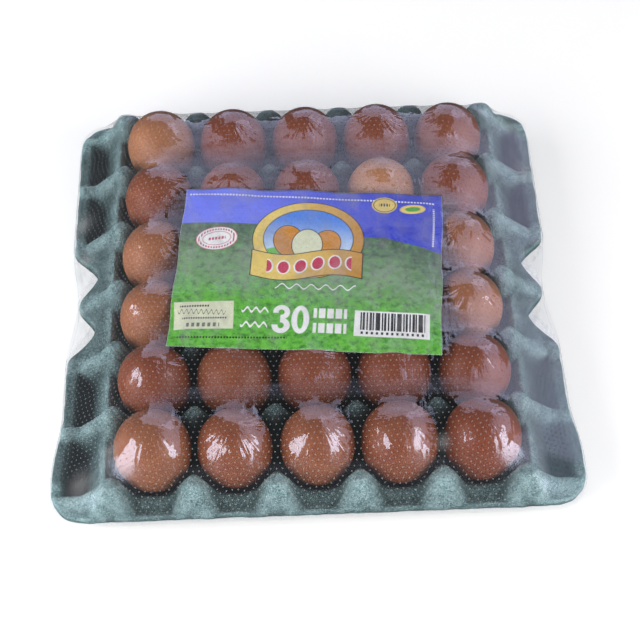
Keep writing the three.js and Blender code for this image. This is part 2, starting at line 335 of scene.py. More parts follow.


# Moulded pulp: recycled paper fibre, grey green, dried on a wire mould, matt with lumps and short fibres; its
# colour is darkened by painted shade in hollows, under the lip, in the wings and in the end bands
def pulpMaterial():
    material, add = newMaterial("moulded_pulp")
    place = millimetres(add)
    mottle = add("TexNoise", place, 1 / pulp["mottleSize"], 4, 0.6)
    fibres = add("TexNoise", place, 1 / pulp["fibreSize"], 4, 0.7)
    dark, middle, light, paintedShade = (hexColour(pulp[key]) for key in ("dark", "middle", "light", "paintedShade"))
    colour = add("Mix RGBA", add("MapRange SMOOTHSTEP", mottle, 0.3, 0.7), dark, light)
    colour = add("Mix RGBA", 0.55, colour, middle)
    colour = add("Mix RGBA", add("MapRange SMOOTHSTEP", fibres, 0.48, 0.68), colour, light)
    colour = add("Mix RGBA", add("MapRange SMOOTHSTEP", fibres, 0.47, 0.28), colour, dark)
    # Painted shade: the colour darkens where little sky reaches, and under the lip, in the wings and in the
    # end bands
    paintedSkyShare = add("Attribute open", out="Fac")  # 0 deep in a hollow, 1 in the open
    colour = add("Mix RGBA", paintedSkyShare, paintedShade, colour)
    lumps = add("Math MULTIPLY_ADD", mottle, 1.5, fibres)
    bump = add("Bump", Height=lumps, Strength=0.8, Distance=pulp["bumpDepth"] * mm)
    shader = add("BsdfPrincipled", Base_Color=colour, Roughness=0.9, Normal=bump, Specular_IOR_Level=0.2)
    add("OutputMaterial", Surface=shader)
    return material


eggshell = {
    "deep": "#83432A",
    "pale": "#C18A62",
    "speck": "#6E3820",
    "speckSize": 0.9,
    "cloudSize": 9,
    "poreSize": 0.6,
    "poreDepth": 0.05,
}


# Brown eggshell: satin with fine pores, its brown laid on in clouds and specks
def eggshellMaterial():
    material, add = newMaterial("brown_eggshell")
    place = millimetres(add)
    tone = add("Attribute tone", out="Fac")
    cloud = add("TexNoise", place, 1 / eggshell["cloudSize"], 3, 0.5)
    tone = add("Math MULTIPLY_ADD", add("Math SUBTRACT", cloud, 0.5), 0.35, tone)
    colour = add("Mix RGBA", tone, hexColour(eggshell["deep"]), hexColour(eggshell["pale"]))
    specks = add("TexNoise", place, 1 / eggshell["speckSize"], 2, 0.6)
    specks = add("Math MULTIPLY", add("MapRange SMOOTHSTEP", specks, 0.6, 0.8), 0.3)
    colour = add("Mix RGBA", specks, colour, hexColour(eggshell["speck"]))
    pores = add("TexNoise", place, 1 / eggshell["poreSize"], 2, 0.6)
    bump = add("Bump", Height=pores, Strength=0.35, Distance=eggshell["poreDepth"] * mm)
    shader = add("BsdfPrincipled", Base_Color=colour, Roughness=0.5, Normal=bump, Specular_IOR_Level=0.3)
    add("OutputMaterial", Surface=shader)
    return material


# How open each place of the tray is to the sky, past the walls and eggs round it, for the painted shade that
# darkens hollows
def openness(x, y, z):
    total = np.zeros_like(x)
    for turn in np.arange(pulp["directions"]) * 2 * np.pi / pulp["directions"]:
        steepest = np.zeros_like(x)
        for reach in pulp["reaches"]:
            alongX, alongY = x + reach * np.cos(turn), y + reach * np.sin(turn)
            over = np.maximum(trayHeight(alongX, alongY), eggTops(alongX, alongY)) - z
            beyondTray = (np.abs(alongX) > tray["frontHalfWidth"] - 2) | (np.abs(alongY) > tray["halfDepth"])
            over = np.where(beyondTray, 0, over)
            steepest = np.maximum(steepest, over / np.hypot(over, reach))
        total += 1 - steepest
    return smooth((total / pulp["directions"] - pulp["shut"]) / (pulp["wide"] - pulp["shut"]))


# The tray: one fine moulded sheet with a turned lip, thickened below
def makeTray():
    steps = tray["gridSteps"]
    bm, i, j = gridMesh(steps)
    drops = (0, 0.7, 2.4, tray["lipDrop"])
    edge = {"rows": 3, "notched": True, "grow": -1.2, "push": (0, 0.9, 1.2, 1.2), "drop": drops}
    x, y, drop, level = sheetPlaces(i, j, steps, edge)
    lumps = sum(height * ripple(x, y, size, seed) for height, size, seed in tray["lumps"])
    offFeet = smooth((trayHeight(x, y) - tray["cupFloor"]) / 3)  # the cups' feet stay level
    onLip = level / edge["rows"]  # the lip ends level all round, past the posts' feet too
    z = trayHeight(x, y) * (1 - onLip) + tray["rimTop"] * onLip + lumps * offFeet - drop
    raggedDepth, raggedSize, raggedSeed = tray["raggedEdge"]
    ragged = raggedDepth * ripple(x, y, raggedSize, raggedSeed) * (level > 0)
    outward = 1 + ragged / tray["frontHalfWidth"]
    setPlaces(bm, np.stack([x * outward, y * outward, z + 0.5 * ragged], 1))
    piece = finishMesh(bm, "pulp_tray", pulpMaterial())
    x, y, z = np.array([vert.co for vert in piece.data.vertices]).T / mm
    # Painted shade: darker under the lip, and in the wings and the end bands between the ridges that run down
    # from the posts
    across, along = np.abs(x), np.abs(y)
    lipX, lipY = pulp["lipLines"]
    wingX, wingY = pulp["wingLines"]
    bandX, bandY = pulp["bandLines"]
    underLip = smooth((tray["rimTop"] - 0.6 - z) / 3) * smooth(np.maximum(along - lipY, across - lipX) / 3)
    offRidge = smooth((np.abs(y - np.round(y / pitch) * pitch) - 4) / 4)
    offPost = smooth((np.abs(x - (np.round(x / pitch - 0.5) + 0.5) * pitch) - 9) / 5)
    inWing = smooth((across - wingX) / 5) * smooth((wingY - along) / 6) * offRidge
    inBand = smooth((along - bandY) / 3) * smooth((bandX - across) / 4) * offPost
    shade = (1 - pulp["lipShade"] * underLip) * (1 - pulp["wingShade"] * inWing)
    shade = shade * (1 - pulp["bandShade"] * inBand)
    # The painted shade, stored per point for the material
    layer = piece.data.attributes.new("open", "FLOAT", "POINT")
    layer.data.foreach_set("value", (openness(x, y, z) * shade).astype(np.float32))
    wall = piece.modifiers.new("thickness", "SOLIDIFY")
    wall.thickness = tray["thickness"] * mm
    wall.offset = -1
    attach(piece, "root")
    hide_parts("tray")


eggs = {
    "diameter": 42.6,
    "diameterSpread": 1.6,
    "frontDiameters": (43.5, 42.3, 42.1, 43.9, 43.6),
    "length": 53.2,
    "lengthSpread": 1.4,
    "bottom": 3.9,
    "taper": 0.1,
    "tilt": 0.06,
    "toneMiddle": 0.07,
    "toneSpread": 0.08,
    "paleEggs": {  # by row and column, both from 0 at the front left
        (0, 0): 0.3,
        (0, 2): 0.2,
        (2, 0): 0.4,
        (2, 4): 0.42,
        (3, 0): 0.45,
        (3, 4): 0.34,
        (4, 3): 0.95,
        (5, 0): 0.62,
    },
    "segments": 48,
    "rings": 32,
}


# Place and size of each egg, as in the solids
def eggSize(row, column):
    seed = row * columns + column + 1
    width = eggs["diameter"] + 0.5 * eggs["diameterSpread"] * scatter(seed)
    if row == 0:
        width = eggs["frontDiameters"][column]
    length = eggs["length"] + 0.5 * eggs["lengthSpread"] * scatter(seed + 40)
    x = (column - (columns - 1) / 2) * pitch
    y = (row - (rows - 1) / 2) * pitch
    return seed, x, y, eggs["bottom"] + length / 2, width, length


def eggTurn(seed):
    turn = Matrix.Rotation(eggs["tilt"] * scatter(seed + 120), 4, "Y")
    return turn @ Matrix.Rotation(eggs["tilt"] * scatter(seed + 80), 4, "X") @ Matrix.Rotation(seed, 4, "Z")


# Height of the eggs' upper sides over each place, or nothing beside them
def eggTops(x, y):
    top = np.full(x.shape, farBelow)
    for row in range(rows):
        for column in range(columns):
            seed, eggX, eggY, eggZ, width, length = eggSize(row, column)
            near = np.hypot(x - eggX, y - eggY) < 0.56 * width
            axes = np.array(eggTurn(seed).to_3x3())
            low = np.zeros(near.sum())
            high = np.full(near.sum(), length / 2 + 1)
            for step in range(16):
                z = (low + high) / 2
                own = np.stack([x[near] - eggX, y[near] - eggY, z], 1) @ axes / (length / 2)
                girth = width / length * (1 + eggs["taper"] * own[:, 2])
                inside = (own[:, 0] ** 2 + own[:, 1] ** 2) / girth**2 + own[:, 2] ** 2 < 1
                low, high = np.where(inside, z, low), np.where(inside, high, z)
            top[near] = np.where(low > 0, eggZ + low, top[near])
    return top


def makeEgg(row, column, material):
    seed, x, y, z, width, length = eggSize(row, column)
    bm = bmesh.new()
    bmesh.ops.create_uvsphere(bm, u_segments=eggs["segments"], v_segments=eggs["rings"], radius=1)
    for vert in bm.verts:
        girth = 0.5 * width * (1 + eggs["taper"] * vert.co.z)
        vert.co = Vector((vert.co.x * girth, vert.co.y * girth, vert.co.z * length / 2)) * mm
    bmesh.ops.transform(bm, matrix=Matrix.Translation(Vector((x, y, z)) * mm) @ eggTurn(seed), verts=bm.verts)
    name = f"egg_r{row + 1}_c{column + 1}"
    piece = finishMesh(bm, "brown_" + name, material)
    tone = piece.data.attributes.new("tone", "FLOAT", "POINT")
    value = eggs["paleEggs"].get((row, column), eggs["toneMiddle"] + eggs["toneSpread"] * scatter(seed + 160))
    tone.data.foreach_set("value", np.full(len(piece.data.vertices), value, np.float32))
    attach(piece, "root")
    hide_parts(name)


sheet = {
    "width": 157,
    "depth": 120.5,
    "centre": (-0.8, -6.7),
    "turn": -0.086,
    "thickness": 0.12,
    "underFilm": 0.2,
    "overEgg": 0.18,
    "height": 56,  # how low the stiff paper lets the film sink between the eggs
    "edgeRound": 12,
    "holdsRound": 4,
    "steps": (110, 80),
    "sky": "#3544D0",
    "skyLight": "#7886FF",
    "hill": "#526C56",
    "hillDark": "#34502F",
    "hillLight": "#7DA277",
    "grass": "#54A832",
    "grassLight": "#72C848",
    "day": "#4A8AEC",
    "dayLight": "#CFE4FA",
    "gold": "#CB9440",
    "goldLight": "#F2D673",
    "cream": "#E4E8CA",
    "white": "#FAFAFA",
    "red": "#CC3858",
    "pink": "#C85F78",
    "ink": "#232420",
    "faded": "#6F7468",
    "yolk": "#D9942E",
    "paperEdge": "#A9B4B2",
}


film = {
    "gridSteps": 180,
    "grow": 0.5,
    "overEgg": 0.45,
    "overTray": 0.6,
    "overRim": 0.7,
    "pressure": 0.006,  # how far it sinks in each round
    "sheetPressure": 0.1,  # the share of that over the stiff paper
    "rounds": 700,
    "pinchPoints": (  # place, reach and depth of the pleats
        (-114, -121, 8, 0.7),
        (-132, -133, 14, 1.0),
        (69, -126, 7, 0.7),
        (141, 92, 13, 0.6),
        (-142, 60, 13, 0.8),
        (-139, 30, 12, 0.8),
        (134, 130, 12, 0.6),
        (-124, 142, 12, 0.7),
    ),
    "pinchPleats": 13,
    "looseCorner": (120, 122),  # past these lines in x and y it hangs loose
    "hemReach": 106,
    # The right wing's front, by x, y and z, where a painted reflection of the bright side goes
    "sheenSide": (118, -40, 18),  # the right wing's front, which mirrors something pale
    "shadedSide": 116,  # left of this line the pin holes show pale
    "creaseScale": 5,
    "creaseTilt": 0.36,
    "facetSize": 6,
    "facetTilt": 0.07,
    "waveSize": 14,
    "waveDepth": 1.6,
    "mirror": 2.3,
    "mirrorLimit": 0.3,
    "roughness": 0.08,
    "touchingRoughness": 0.2,
    "saddleRoughness": 0.3,
    "sideRoughness": 0.26,
    "haze": 0.008,
    "gatheredHaze": 0.2,
    # Painted reflection: strength and colour of the pale sheen on the right wing's front
    "paintedSheenStrength": 0.16,
    "paintedSheenColour": "#8FA6B4",
    # Painted sheen over the paper's folds
    "paintedFoldSheen": 0.2,
    "veilScale": (0.07, 0.03, 0),
    "hemHaze": 0.12,
    "strandScale": (0.3, 0.05, 0.2),
    "underside": 0.1,
    "footShare": 0.93,
    "streakScale": (0.6, 0.035, 0.02),
    "streakTilt": 0.55,
}


# How far a place lies inside the printed sheet's rectangle, below 0 outside it
def insideSheet(x, y):
    dx = x - sheet["centre"][0]
    dy = y - sheet["centre"][1]
    u = dx * math.cos(sheet["turn"]) + dy * math.sin(sheet["turn"])
    v = dy * math.cos(sheet["turn"]) - dx * math.sin(sheet["turn"])
    return np.minimum(sheet["width"] / 2 - np.abs(u), sheet["depth"] / 2 - np.abs(v))


# Taut film: each place sinks to the mean of its neighbours unless something holds it up
def relaxFilm(x, y, level, steps):
    shape = (steps + 1, steps + 1)
    onSheet = insideSheet(x, y)
    under = np.maximum(trayHeight(x, y) + film["overTray"], eggTops(x, y) + film["overEgg"])
    paper = np.where(onSheet > 0, sheet["height"] + smooth(onSheet / sheet["edgeRound"]), farBelow)
    under = np.maximum(under, paper).reshape(shape)
    share = np.where(onSheet > -sheet["holdsRound"], film["sheetPressure"], 1)
    press = share.reshape(shape) * film["pressure"]
    row, column = np.indices(shape)
    held = (level > 0).reshape(shape) | (np.minimum.reduce([row, column, steps - row, steps - column]) <= 3)
    edgeZ = tray["rimTop"] + film["overRim"]
    inward = np.minimum(halfWidth(y, False) - np.abs(x), tray["halfDepth"] - np.abs(y)).reshape(shape)
    start = edgeZ + (sheet["height"] - edgeZ) * np.clip(inward / 40, 0, 1)  # a first guess to settle from
    height = np.where(held, edgeZ, np.maximum(under, start))
    for turn in range(film["rounds"]):
        mean = sum(np.roll(height, step, axis) for axis in (0, 1) for step in (1, -1)) / 4
        height = np.where(held, height, np.maximum(mean - press, under))
    return height


filmSteps = film["gridSteps"]
filmEdge = {
    "rows": 3,
    "notched": False,
    "grow": film["grow"],
    "push": (0, 0.3, 0.4, 0.2),
    "drop": (0, 1.2, 4.0, 8.4),
}
gridI, gridJ = (a.ravel() for a in np.indices((filmSteps + 1, filmSteps + 1)))
filmX, filmY, filmDrop, filmLevel = sheetPlaces(gridI, gridJ, filmSteps, filmEdge)
filmHeight = relaxFilm(filmX, filmY, filmLevel, filmSteps)
print("film settled")


# Height of the film over a place within the cups' lines, where its grid is even
def filmOver(x, y):
    radius = tray["cornerRadius"]
    half = filmSteps / 2 - filmEdge["rows"]
    i = x / tray["frontHalfWidth"] * half + filmSteps / 2
    reach = (1 + film["grow"] / tray["halfDepth"]) * (tray["halfDepth"] - radius + radius * np.pi / 2)
    j = y / reach * half + filmSteps / 2
    i0 = np.floor(i).astype(int)
    j0 = np.floor(j).astype(int)
    s = i - i0
    t = j - j0
    near = filmHeight[i0, j0] * (1 - s) + filmHeight[i0 + 1, j0] * s
    far = filmHeight[i0, j0 + 1] * (1 - s) + filmHeight[i0 + 1, j0 + 1] * s
    return near * (1 - t) + far * t


# Small pleats that fan out from the points where the film gathers
def pleats(x, y):
    height = np.zeros_like(x)
    gathered = np.zeros_like(x)
    for k, (pinchX, pinchY, reach, depth) in enumerate(film["pinchPoints"]):
        away = np.hypot(x - pinchX, y - pinchY)
        angle = np.arctan2(y - pinchY, x - pinchX)
        fan = np.sin(angle * film["pinchPleats"] + 2 * np.sin(3 * angle + k))
        near = np.exp(-((away / reach) ** 2)) * smooth(away / 4)
        height += depth * (0.5 + 0.5 * fan) * near
        gathered = np.maximum(gathered, np.exp(-((away / (0.5 * reach)) ** 2)))
    return height, gathered


pinHoles = {
    "across": 3.3,
    "along": 3.1,
    "radius": 0.4,
    "rimColour": "#BCBCBE",
    "rimStrength": 0.34,
}


# Shrink film: clear polyolefin, pricked all over with hot pins, which leaves a pale rim round each hole
def filmMaterial():
    material, add = newMaterial("clear_shrink_film")
    place = millimetres(add)
    flat = add("SeparateXYZ", add("UVMap flat")).node.outputs
    across = add("Math DIVIDE", flat[0], pinHoles["across"] / 1000)
    along = add("Math DIVIDE", flat[1], pinHoles["along"] / 1000)
    odd = add("Math PINGPONG", add("Math FLOOR", along), 1.0)
    cellX = add("Math SUBTRACT", add("Math FRACT", add("Math MULTIPLY_ADD", odd, 0.5, across)), 0.5)
    cellY = add("Math SUBTRACT", add("Math FRACT", along), 0.5)
    holeX = add("Math MULTIPLY", cellX, pinHoles["across"])
    holeY = add("Math MULTIPLY", cellY, pinHoles["along"])
    away = add("Math ADD", add("Math MULTIPLY", holeX, holeX), add("Math MULTIPLY", holeY, holeY))
    away = add("Math SQRT", away)
    rim = add("MapRange SMOOTHSTEP", away, pinHoles["radius"] + 0.1, pinHoles["radius"] - 0.1)
    # Creases that fan out from the top of each egg, patchy, with flat facets and slack waves between them
    cell = add("VectorMath MULTIPLY_ADD", place, (1 / pitch, 1 / pitch, 0), (columns / 2, rows / 2, 0))
    whole = add("VectorMath FLOOR", cell)
    spoke = add("VectorMath SUBTRACT", cell, whole)
    spoke = add("VectorMath SUBTRACT", spoke, (0.5, 0.5, 0))
    reach = add("VectorMath LENGTH", spoke)
    ray = add("VectorMath NORMALIZE", spoke)
    ray = add("VectorMath MULTIPLY_ADD", ray, (2.6, 2.6, 0), spoke)
    ray = add("VectorMath MULTIPLY_ADD", whole, (7.3, 3.1, 0), ray)
    creases = add("TexVoronoi", Vector=ray, Scale=film["creaseScale"], out="Color")
    warp = add("TexNoise", Vector=place, Scale=0.12, Detail=1.0, out="Color")
    bent = add("VectorMath MULTIPLY_ADD", warp, (9, 9, 9), place)
    facets = add("TexVoronoi", Vector=bent, Scale=1 / film["facetSize"], out="Color")
    patches = add("MapRange SMOOTHSTEP", add("TexNoise", place, 1 / 17, 1, 0.5), 0.42, 0.56)
    overCups = add("Attribute overCups", out="Fac")
    onShoulder = add("MapRange SMOOTHSTEP", reach, 0.06, 0.2)
    nearEgg = add("Math MULTIPLY", add("MapRange SMOOTHSTEP", reach, 0.48, 0.36), onShoulder)
    toFront = add("MapRange SMOOTHSTEP", add("SeparateXYZ", spoke, out=1), 0.2, 0.02)
    nearEgg = add("Math MULTIPLY", nearEgg, add("Math MULTIPLY", overCups, toFront))
    crease = add("Math MULTIPLY", add("Math MULTIPLY", patches, nearEgg), film["creaseTilt"])
    facet = add("Math MULTIPLY_ADD", patches, -0.5 * film["facetTilt"], film["facetTilt"])
    waves = add("TexNoise", place, 1 / film["waveSize"], 2, 0.5)
    overSheet = add("Attribute overSheet", out="Fac")
    # Flatter over paper, and where it is drawn down at the sides
    atSides = add("Math MULTIPLY_ADD", overCups, 0.75, 0.25)
    calm = add("Math MULTIPLY", add("Math MULTIPLY_ADD", overSheet, -0.6, 1.0), atSides)
    bump = add("Bump", Height=waves, Strength=calm, Distance=film["waveDepth"] * mm)
    tilt = add("VectorMath SUBTRACT", creases, (0.5, 0.5, 0.5))
    tilt = add("VectorMath SCALE", tilt, add("Math MULTIPLY", crease, calm))
    turn = add("VectorMath SUBTRACT", facets, (0.5, 0.5, 0.5))
    turn = add("VectorMath SCALE", turn, add("Math MULTIPLY", facet, calm))
    pulled = add("VectorMath MULTIPLY", place, film["streakScale"])
    pulled = add("TexNoise", Vector=pulled, Scale=1.0, Detail=1.0, out="Color")
    pulled = add("VectorMath SUBTRACT", pulled, (0.5, 0.5, 0.5))
    pulled = add("VectorMath MULTIPLY", pulled, (1, 0.15, 0.1))
    streak = add("MapRange SMOOTHSTEP", add("TexNoise", place, 1 / 21, 1, 0.5), 0.35, 0.6)
    streak = add("Math MULTIPLY", streak, film["streakTilt"])
    pulled = add("VectorMath SCALE", pulled, add("Math MULTIPLY", streak, calm))
    normal = add("VectorMath ADD", tilt, turn)
    normal = add("VectorMath ADD", normal, pulled)
    normal = add("VectorMath ADD", normal, bump)
    normal = add("VectorMath NORMALIZE", normal)
    fresnel = add("Fresnel", IOR=1.5, Normal=normal)
    touching = add("Attribute touching", out="Fac")  # where it clings to the pulp
    mirror = add("Math MINIMUM", add("Math MULTIPLY", fresnel, film["mirror"]), film["mirrorLimit"])
    mirror = add("Math MULTIPLY", mirror, add("Math MULTIPLY_ADD", touching, -0.45, 1.0))
    slack = add("Attribute slack", out="Fac")
    mirror = add("Math MULTIPLY", mirror, add("Math MULTIPLY_ADD", slack, -0.8, 1.0))
    mirror = add("Math MULTIPLY", mirror, add("Math MULTIPLY_ADD", overSheet, -0.55, 1.0))
    mirror = add("Math MULTIPLY", mirror, add("Math MULTIPLY_ADD", rim, -0.9, 1.0))  # no film in a hole
    clear = add("BsdfTransparent", Color=(0.97, 0.975, 0.98, 1))
    duller = film["touchingRoughness"] - film["roughness"]
    rough = add("Math MULTIPLY_ADD", touching, duller, film["roughness"])
    # Finely crinkled between the rows of eggs and beside them
    saddle = add("Math ABSOLUTE", add("SeparateXYZ", spoke, out=1))
    saddle = add("Math MULTIPLY", add("MapRange SMOOTHSTEP", saddle, 0.3, 0.46), film["saddleRoughness"])
    beside = add("Math MULTIPLY_ADD", overCups, -film["sideRoughness"], film["sideRoughness"])
    rough = add("Math ADD", rough, add("Math MULTIPLY_ADD", saddle, overCups, beside))
    shine = add("BsdfGlossy", Color=(1, 1, 1, 1), Roughness=rough, Normal=normal)
    skin = add("MixShader", mirror, clear, shine)
    gathered = add("Attribute gathered", out="Fac")
    # Painted reflection: a pale bluish diffuse sheen on the right wing's front stands in for the film
    # mirroring the bright side, cut at each hole so the holes show dark
    side = add("Attribute side", out="Fac")
    pale = add("Mix RGBA", side, hexColour(pinHoles["rimColour"]), hexColour(film["paintedSheenColour"]))
    pale = add("BsdfDiffuse", Color=pale)
    haze = add("Math MULTIPLY_ADD", gathered, film["gatheredHaze"], film["haze"])
    paintedSheen = add("Math MULTIPLY", side, add("Math MULTIPLY_ADD", rim, -1.0, 1.0))  # its holes show dark
    haze = add("Math MAXIMUM", haze, add("Math MULTIPLY", paintedSheen, film["paintedSheenStrength"]))
    # Soft pale folds over the paper, painted as a diffuse sheen, and film bunched up in strands where the
    # tray is notched
    veil = add("VectorMath MULTIPLY", bent, film["veilScale"])
    veil = add("MapRange SMOOTHSTEP", add("TexNoise", veil, 1, 2, 0.6), 0.42, 0.68)
    veil = add("Math MULTIPLY", add("Math MULTIPLY", veil, overSheet), film["paintedFoldSheen"])
    haze = add("Math MAXIMUM", haze, veil)
    strands = add("VectorMath MULTIPLY", bent, film["strandScale"])
    strands = add("MapRange SMOOTHSTEP", add("TexNoise", strands, 1, 1, 0.5), 0.35, 0.65)
    strands = add("Math MULTIPLY", add("Attribute hem", out="Fac"), strands)
    haze = add("Math MAXIMUM", haze, add("Math MULTIPLY", strands, film["hemHaze"]))
    tight = add("Math SUBTRACT", 1.0, slack)
    shown = add("Math MULTIPLY", add("Math MULTIPLY_ADD", overSheet, -0.6, 1.0), tight)
    shown = add("Math MULTIPLY", shown, add("Attribute shaded", out="Fac"))
    rim = add("Math MULTIPLY", add("Math MULTIPLY", rim, shown), pinHoles["rimStrength"])
    haze = add("Math MAXIMUM", haze, rim)
    add("OutputMaterial", Surface=add("MixShader", haze, skin, pale))
    return material


# The film's upper sheet, then a flat one under the cups, joined round the rim
def makeFilm(material):
    steps = filmSteps
    bm, i, j = gridMesh(steps)
    order = i * (steps + 1) + j
    x, y, drop = filmX[order], filmY[order], filmDrop[order]
    folds = pleats(x, y)[0]
    fromSide = straightHalfWidth(y, False) - np.abs(x)
    inside = smooth((tray["halfDepth"] - np.abs(y)) / 6) * smooth(fromSide / 6)
    top = filmHeight[i, j] + folds * inside - drop
    setPlaces(bm, np.stack([x, y, top], 1))
    # Lengths along the sheet, so that the pin holes keep their distance on the slopes
    shaped = np.zeros((steps + 1, steps + 1, 3))
    shaped[i, j] = np.stack([x, y, top], 1)
    across = np.linalg.norm(np.diff(shaped, axis=0, prepend=shaped[:1]), axis=2).cumsum(0)
    along = np.linalg.norm(np.diff(shaped, axis=1, prepend=shaped[:, :1]), axis=2).cumsum(1)
    across -= across[steps // 2]
    along -= along[:, steps // 2:steps // 2 + 1]
    layer = bm.loops.layers.uv.new("flat")
    flat = np.stack([across[i, j], along[i, j]], 1) / 1000
    for face in bm.faces:
        for loop in face.loops:
            loop[layer].uv = flat[loop.vert.index]
    lower = bmesh.ops.duplicate(bm, geom=bm.verts[:] + bm.edges[:] + bm.faces[:])
    copies = [item for item in lower["geom"] if isinstance(item, bmesh.types.BMVert)]
    lowerFaces = [item for item in lower["geom"] if isinstance(item, bmesh.types.BMFace)]
    fromRim = np.maximum(np.abs(x) / halfWidth(y, False), np.abs(y) / tray["halfDepth"])
    drawnIn = np.clip((fromRim - film["footShare"]) / (1 - film["footShare"]), 0, 1)
    under = film["underside"] + top.min() * drawnIn
    onBorder = (i == 0) | (i == steps) | (j == 0) | (j == steps)
    under = np.where(onBorder, top, under)
    for vert, place in zip(copies, np.stack([x, y, under], 1) * mm):
        vert.co = place
    bmesh.ops.reverse_faces(bm, faces=lowerFaces)
    piece = finishMesh(bm, "shrink_film", material)
    x, y, z = np.array([vert.co for vert in piece.data.vertices]).T / mm
    # Soft masks for its material, in millimetres over the pack
    across, along = np.abs(x), np.abs(y)
    pastRim = across - halfWidth(y, True)
    cornerX, cornerY = film["looseCorner"]
    sheenX, sheenY, sheenZ = film["sheenSide"]
    atCorner = smooth((along - cornerY) / 8) * smooth((across - cornerX) / 10)
    offTray = smooth(np.maximum(pastRim / 2, (16 - z) / 3))  # over the notches and below the rim
    layers = {
        "gathered": pleats(x, y)[1] * (z > 8),
        "touching": smooth(1.6 - (z - trayHeight(x, y)) / 1.5),
        "overCups": smooth((sideLine - across) / 8) * smooth((endLine - along) / 8),
        "overSheet": smooth(insideSheet(x, y)),
        "slack": np.maximum(atCorner, offTray),
        "hem": smooth(1.4 - np.abs(pastRim - 1) / 3) * smooth((film["hemReach"] - along) / 12),
        # Where the painted reflection of the bright side lies
        "side": smooth((x - sheenX) / 10) * smooth((sheenY - y) / 40) * smooth((z - sheenZ) / 2),
        "shaded": 1 - smooth((x - film["shadedSide"]) / 12),
    }
    for name, values in layers.items():
        layer = piece.data.attributes.new(name, "FLOAT", "POINT")
        layer.data.foreach_set("value", values.astype(np.float32))
    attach(piece, "root")
    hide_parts("film")


